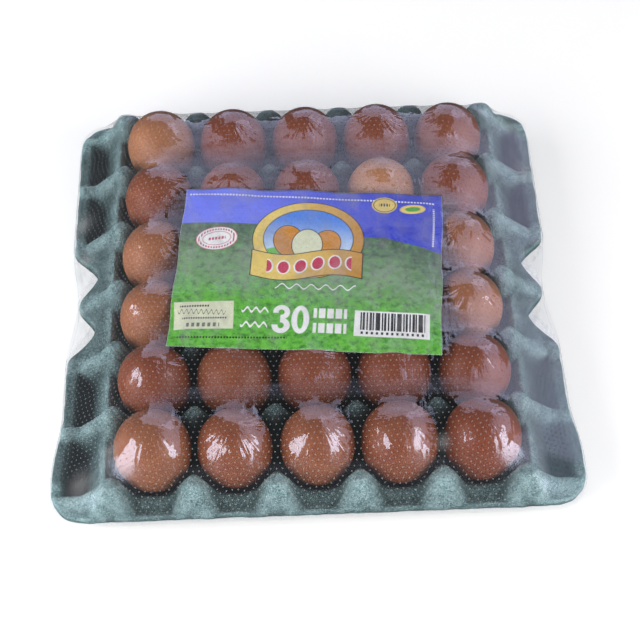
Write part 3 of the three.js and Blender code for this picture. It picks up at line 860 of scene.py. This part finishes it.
# Printed sheet: coated paper with a landscape in fields of colour, a gold medallion and plain panels
def sheetMaterial():
    material, add = newMaterial("printed_paper")
    flat = add("UVMap flat")  # metres from the sheet's middle
    page = add("VectorMath SCALE", flat, 1 / mm)
    pageX, pageY = add("SeparateXYZ", page).node.outputs[:2]

    def local(centre, turn, vector=page):  # coordinates about a shape's own middle
        moved = add("VectorMath SUBTRACT", vector, (*centre, 0))
        return add("VectorRotate Z_AXIS", Vector=moved, Angle=-turn)

    def oval(centre, radii, turn=0.0, soft=0.25, vector=page):
        place = local(centre, turn, vector)
        scaled = add("VectorMath DIVIDE", place, (*radii, 1))
        length = add("VectorMath LENGTH", scaled)
        return add("MapRange SMOOTHSTEP", length, 1 + soft / min(radii), 1 - soft / min(radii))

    def band(value, half, soft=0.25):
        return add("MapRange SMOOTHSTEP", add("Math ABSOLUTE", value), half + soft, half - soft)

    def panel(centre, size, turn=0.0, soft=0.25):
        sides = add("SeparateXYZ", local(centre, turn)).node.outputs
        return add("Math MULTIPLY", band(sides[0], size[0] / 2, soft), band(sides[1], size[1] / 2, soft))

    def without(whole, cut):
        return add("Math MULTIPLY", whole, add("Math SUBTRACT", 1.0, cut))

    def ring(centre, radii, width, turn=0.0):
        return without(oval(centre, radii, turn), oval(centre, (radii[0] - width, radii[1] - width), turn))

    def blocks(value, period, share):  # a row of plain blocks
        return add("Math LESS_THAN", add("Math FRACT", add("Math DIVIDE", value, period)), share)

    def wave(height, swing, length):  # distance from a wavy line across the sheet
        line = add("Math SINE", add("Math DIVIDE", pageX, length / (2 * math.pi)))
        return add("Math SUBTRACT", pageY, add("Math MULTIPLY_ADD", line, swing, height))

    tint = {key: hexColour(value) for key, value in sheet.items() if isinstance(value, str)}
    cloud = add("TexNoise", page, 1 / 30, 3, 0.5)
    grain = add("TexNoise", page, 1 / 4, 4, 0.65)
    # Sky, lighter to the left, and a skyline that falls to the right
    toRight = add("MapRange SMOOTHSTEP", add("Math MULTIPLY_ADD", cloud, 60.0, pageX), -30.0, 90.0)
    colour = add("Mix RGBA", toRight, tint["skyLight"], tint["sky"])
    drop = add("Math MULTIPLY", add("MapRange SMOOTHSTEP", pageX, -35.0, 31.0), 8.0)
    slope = add("Math MULTIPLY", add("Math MAXIMUM", add("Math SUBTRACT", pageX, 44.0), 0.0), 0.28)
    skyline = add("Math SUBTRACT", add("Math SUBTRACT", 31.5, drop), slope)
    below = add("Math SUBTRACT", skyline, pageY)
    rough = add("Math MULTIPLY_ADD", grain, 26.0, add("Math MULTIPLY_ADD", cloud, 30.0, below))
    land = add("Mix RGBA", add("MapRange SMOOTHSTEP", rough, 26.0, 62.0), tint["hill"], tint["hillLight"])
    grass = add("Mix RGBA", add("MapRange SMOOTHSTEP", grain, 0.35, 0.65), tint["grass"], tint["grassLight"])
    land = add("Mix RGBA", add("MapRange SMOOTHSTEP", rough, 58.0, 92.0), land, grass)
    tufts = add("Math MULTIPLY", add("MapRange SMOOTHSTEP", grain, 0.5, 0.68), 0.3)
    gaps = add("Math MULTIPLY", add("MapRange SMOOTHSTEP", grain, 0.5, 0.32), 0.45)
    land = add("Mix RGBA", tufts, land, tint["grassLight"])
    land = add("Mix RGBA", gaps, land, tint["hillDark"])
    colour = add("Mix RGBA", add("MapRange SMOOTHSTEP", below, -0.5, 0.5), colour, land)
    # Medallion: a gold ring round a pale sky with three eggs on green land, and a gold ribbon across it
    medallion, window = (-1.5, 20.5), (-1.5, 21)
    opening = oval(window, (26.5, 22.5))
    glow = add("Mix RGBA", add("MapRange SMOOTHSTEP", pageY, 40.0, 8.0), tint["day"], tint["dayLight"])
    gold = add("MapRange SMOOTHSTEP", add("Math MULTIPLY_ADD", cloud, 50.0, pageX), 0.0, 60.0)
    gold = add("Mix RGBA", gold, tint["goldLight"], tint["gold"])
    ribbonLine = wave(1.5, 2.6, 64)
    ribbonX = add("Math ADD", pageX, 1.5)
    ribbon = add("Math MULTIPLY", band(ribbonLine, 9.3), band(ribbonX, 32.5))
    edge = add("Math MULTIPLY", band(ribbonLine, 9.9), band(ribbonX, 33.1))
    spotPitch = 10.0
    spots = add("Math SUBTRACT", add("Math FRACT", add("Math DIVIDE", pageX, spotPitch)), 0.5)
    spots = add("CombineXYZ", X=add("Math MULTIPLY", spots, spotPitch), Y=ribbonLine)
    spotRow = band(pageX, 24.9, 0.1)
    zero = without(oval((-2.9, -39), (5.1, 10)), oval((-2.9, -39), (1.8, 6.6)))
    three = add("Math MAXIMUM", ring((-13.9, -34.1), (4.9, 5.1), 3.2), ring((-13.9, -43.6), (5.2, 5.5), 3.4))
    three = without(three, panel((-17.6, -38.9), (6.4, 8.4)))
    number = add("Math MAXIMUM", zero, three)
    twoRows = add("Math MAXIMUM", panel((14.1, -34), (19.2, 7)), panel((14.1, -44.6), (19.2, 7)))
    twoWaves = add("Math MAXIMUM", band(wave(-33, 1.5, 5), 0.85), band(wave(-43.5, 1.5, 5), 0.85))
    code = panel((49.8, -39), (38, 12.6), -0.02)
    stamp, stampTurn, badge = (-56, 19.3), 0.16, (43.1, 49.5)
    layers = (  # from the lowest up: the masks that a field has to be within, and its colour
        (oval(medallion, (33.4, 29.4)), "ink"),
        (oval(medallion, (32.9, 28.9)), gold),
        (oval(window, (27, 23)), "ink"),
        (opening, glow),
        (opening, oval((-2, 2), (36, 14)), "grassLight"),
        (opening, oval((-13, 19), (9.3, 12.4), 0.2), "ink"),
        (opening, oval((-13, 19), (8.8, 11.9), 0.2), "yolk"),
        (oval((9.5, 17.5), (8.7, 11), -0.2), "ink"),
        (oval((9.5, 17.5), (8.2, 10.5), -0.2), "yolk"),
        (oval((-2, 16.5), (9.4, 12)), "ink"),
        (oval((-2, 16.5), (8.9, 11.5)), "cream"),
        (edge, "ink"),
        (ribbon, gold),
        (spotRow, oval((0, 0), (4.1, 5.3), 0, 0.25, spots), "white"),
        (spotRow, oval((0, 0), (3.2, 4.4), 0, 0.25, spots), "red"),
        (band(wave(-15, 1.7, 8.5), 0.45), band(add("Math SUBTRACT", pageX, 4.5), 23.5), "white"),
        # Round stamp, badges, cream panel, striped panel, number and rows of plain blocks
        (oval(stamp, (12.6, 8.9), stampTurn), "pink"),
        (oval(stamp, (12.1, 8.4), stampTurn), "white"),
        (ring(stamp, (11.1, 7.5), 1.3, stampTurn), blocks(pageX, 1.6, 0.6), "pink"),
        (ring(stamp, (8.6, 5.2), 0.4, stampTurn), "pink"),
        (panel(stamp, (10.5, 2), stampTurn), blocks(pageX, 1.9, 0.7), "pink"),
        (panel((-1, 53.8), (150, 1.3), -0.02), blocks(pageX, 1.9, 0.62), "white"),
        (oval(badge, (7.6, 6.6)), "goldLight"),
        (ring(badge, (6.8, 5.8), 0.5), "ink"),
        (panel(badge, (6.5, 2.4)), blocks(pageX, 1.7, 0.6), "ink"),
        (oval((60.2, 46.7), (7.8, 3.6), 0.1), "goldLight"),
        (oval((60.2, 46.7), (4.6, 1.8), 0.1), "grass"),
        (panel((-58.8, -38), (34.8, 19.6), 0.05), "cream"),
        (panel((-64.5, -31.6), (17, 1.3), 0.05), blocks(pageX, 1.5, 0.65), "ink"),
        (band(wave(-35.6, 1.5, 2.9), 0.35), panel((-60, -35.6), (28, 6)), "ink"),
        (panel((-58, -40), (26, 1.2), 0.05), blocks(pageX, 1.4, 0.6), "ink"),
        (panel((-59, -44.8), (20, 2.8), 0.05), blocks(pageX, 3.1, 0.55), "faded"),
        (panel((-42, -53), (64, 1.2), 0.03), blocks(pageX, 1.7, 0.6), "ink"),
        (number, "white"),
        (twoRows, blocks(add("Math ADD", pageX, 50.0), 4.8, 0.76), "white"),
        (twoWaves, panel((-29.3, -38.5), (15.5, 22)), "white"),
        (panel((49.8, -40.7), (43.5, 18.2), -0.02), "white"),
        (code, blocks(pageX, 1.75, 0.5), "ink"),
        (code, blocks(pageX, 4.1, 0.3), "ink"),
        (panel((49.8, -47.3), (38, 1.8), -0.02), blocks(pageX, 2.9, 0.45), "ink"),
        (panel((73, 33), (1.2, 30)), blocks(pageY, 1.7, 0.6), "white"),
    )
    for mask, *limits, shade in layers:
        for limit in limits:
            mask = add("Math MULTIPLY", mask, limit)
        colour = add("Mix RGBA", mask, colour, tint[shade] if isinstance(shade, str) else shade)
    paper = panel((0, 0), (sheet["width"] - 0.4, sheet["depth"] - 0.4), 0.0, 0.2)
    colour = add("Mix RGBA", paper, tint["paperEdge"], colour)
    waves = add("TexNoise", page, 1 / 13, 2, 0.5)
    height = add("Math MULTIPLY_ADD", add("TexNoise", page, 1 / 1.2, 2, 0.5), 0.1, waves)
    bump = add("Bump", Height=height, Strength=0.6, Distance=2 * mm)
    shader = add("BsdfPrincipled", Base_Color=colour, Roughness=0.5, Normal=bump, Specular_IOR_Level=0.3)
    add("OutputMaterial", Surface=shader)
    return material


def makeSheet():
    stepsX, stepsY = sheet["steps"]
    bm = bmesh.new()
    bmesh.ops.create_grid(bm, x_segments=stepsX, y_segments=stepsY, size=1)
    layer = bm.loops.layers.uv.new("flat")
    for face in bm.faces:
        for loop in face.loops:
            u, v = loop.vert.co.x * sheet["width"] / 2, loop.vert.co.y * sheet["depth"] / 2
            loop[layer].uv = (u / 1000, v / 1000)
    place = np.array([vert.co[:2] for vert in bm.verts])
    u = place[:, 0] * sheet["width"] / 2
    v = place[:, 1] * sheet["depth"] / 2
    cosine, sine = math.cos(sheet["turn"]), math.sin(sheet["turn"])
    x = sheet["centre"][0] + u * cosine - v * sine
    y = sheet["centre"][1] + u * sine + v * cosine
    # The edges draw in over each dip, as the sheet is longer there
    edgeX = smooth((np.abs(place[:, 0]) - 0.8) / 0.2)
    edgeY = smooth((np.abs(place[:, 1]) - 0.8) / 0.2)
    dipX = 0.5 - 0.5 * np.cos(2 * np.pi * fromCellCentre(x, columns) / pitch)
    dipY = 0.5 - 0.5 * np.cos(2 * np.pi * fromCellCentre(y, rows) / pitch)
    drawnX = x - np.sign(u) * edgeX * 0.7 * dipY
    drawnY = y - np.sign(v) * edgeY * 0.5 * dipX
    droop = 0.3 * (edgeX * dipY + edgeY * dipX) + 0.4 * (1 + ripple(x, y, 11, 8))
    z = filmOver(drawnX, drawnY) - sheet["underFilm"] - droop * np.maximum(edgeX, edgeY)
    z = np.maximum(z, eggTops(drawnX, drawnY) + sheet["overEgg"])
    setPlaces(bm, np.stack([drawnX, drawnY, z], 1))
    piece = finishMesh(bm, "printed_sheet", sheetMaterial())
    wall = piece.modifiers.new("thickness", "SOLIDIFY")
    wall.thickness = sheet["thickness"] * mm
    wall.offset = -1
    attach(piece, "root")
    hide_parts("label")


stage = {
    "floorColour": "#F4F4F4",
    "floorGlow": 0.36,  # a table lit from below, as for a photograph on white
    "floorReach": 6,  # metres
    "skyColour": "#E6ECF5",
    "skyStrength": 0.08,
    # Place, width and height in metres, radiance, colour, if it lights matt things, if it shows in gloss
    "lamps": {
        "left_softbox": ((-0.98, -0.53, 0.41), 0.9, 0.9, 6.0, "#FFFCFA", True, False),
        "right_softbox": ((0.96, -0.60, 0.38), 0.9, 0.9, 6.0, "#FFFCFA", True, False),
        "left_sheen": ((-0.95, -0.514, 0.398), 0.87, 0.87, 5.6, "#DEE8FF", False, True),
        "right_sheen": ((0.93, -0.58, 0.368), 0.87, 0.87, 5.6, "#DEE8FF", False, True),
        "right_panel": ((1.3, 0.15, 0.9), 3.0, 2.0, 1.2, "#CFD2F6", False, True),
        "back_panel": ((0.3, 1.7, 0.95), 2.6, 1.8, 1.2, "#CFD2F6", False, True),
        "top_fill": ((0, 0.1, 1.6), 1.6, 1.6, 0.5, "#F4F7FF", True, False),
        "left_fill": ((-1.4, 0.25, 0.75), 0.9, 0.9, 3.4, "#F4F7FF", True, False),
        "front_fill": ((0, -1.6, 0.7), 1.6, 0.9, 0.6, "#FFFFFF", True, False),
    },
}


def makeFloor():
    material, add = newMaterial("pale_floor")  # matt white board
    white = hexColour(stage["floorColour"])
    glow = {"Emission_Color": white, "Emission_Strength": stage["floorGlow"]}
    add("OutputMaterial", Surface=add("BsdfPrincipled", Base_Color=white, Roughness=0.8, **glow))
    bm = bmesh.new()
    bmesh.ops.create_grid(bm, x_segments=1, y_segments=1, size=stage["floorReach"])
    floor = finishMesh(bm, "floor", material)
    floor.visible_glossy = False  # the film would otherwise mirror it


# One soft rectangular lamp that faces the pack, as a radiance over its own area
def makeLamp(name, place, width, height, radiance, colour, lights, shines):
    data = bpy.data.lights.new(name, "AREA")
    data.shape = "RECTANGLE"
    data.size = width
    data.size_y = height
    data.energy = radiance * math.pi * width * height
    data.color = hexColour(colour)[:3]
    lamp = bpy.data.objects.new(name, data)
    bpy.context.scene.collection.objects.link(lamp)
    lamp.location = place
    lamp.rotation_euler = Vector(place).to_track_quat("Z", "Y").to_euler()
    lamp.visible_camera = False
    lamp.visible_diffuse = lights
    lamp.visible_glossy = shines


def makeLight():
    world = bpy.data.worlds.new("studio")
    world.use_nodes = True
    background = world.node_tree.nodes["Background"]
    background.inputs["Color"].default_value = hexColour(stage["skyColour"])
    background.inputs["Strength"].default_value = stage["skyStrength"]
    bpy.context.scene.world = world
    for name, values in stage["lamps"].items():
        makeLamp(name, *values)


camera = {
    "aim": (4.8, -18.5, 20),
    "distance": 968.1,
    "azimuth": -1.17,
    "elevation": 53.04,
    "roll": -1.18,
    "fieldOfView": 22.47,
}


def makeCamera():
    azimuth = math.radians(camera["azimuth"])
    elevation = math.radians(camera["elevation"])
    roll = math.radians(camera["roll"])
    back = Vector((
        math.sin(azimuth) * math.cos(elevation),
        -math.cos(azimuth) * math.cos(elevation),
        math.sin(elevation),
    ))
    right = Vector((0, 0, 1)).cross(back).normalized()
    up = back.cross(right)
    across = right * math.cos(roll) + up * math.sin(roll)
    upright = up * math.cos(roll) - right * math.sin(roll)
    data = bpy.data.cameras.new("camera")
    data.sensor_width = 36
    data.lens = 18 / math.tan(math.radians(camera["fieldOfView"] / 2))
    view = bpy.data.objects.new("camera", data)
    bpy.context.scene.collection.objects.link(view)
    turned = Matrix((across, upright, back)).transposed().to_4x4()
    view.matrix_world = Matrix.Translation((Vector(camera["aim"]) + back * camera["distance"]) * mm) @ turned
    bpy.context.scene.camera = view


makeTray()
print("tray made")
shell = eggshellMaterial()
for row in range(rows):
    for column in range(columns):
        makeEgg(row, column, shell)
print("eggs made")
makeSheet()
print("sheet made")
makeFilm(filmMaterial())
print("film made")
makeFloor()
makeLight()
makeCamera()
bpy.context.scene.view_settings.view_transform = "Standard"
print("stage made")
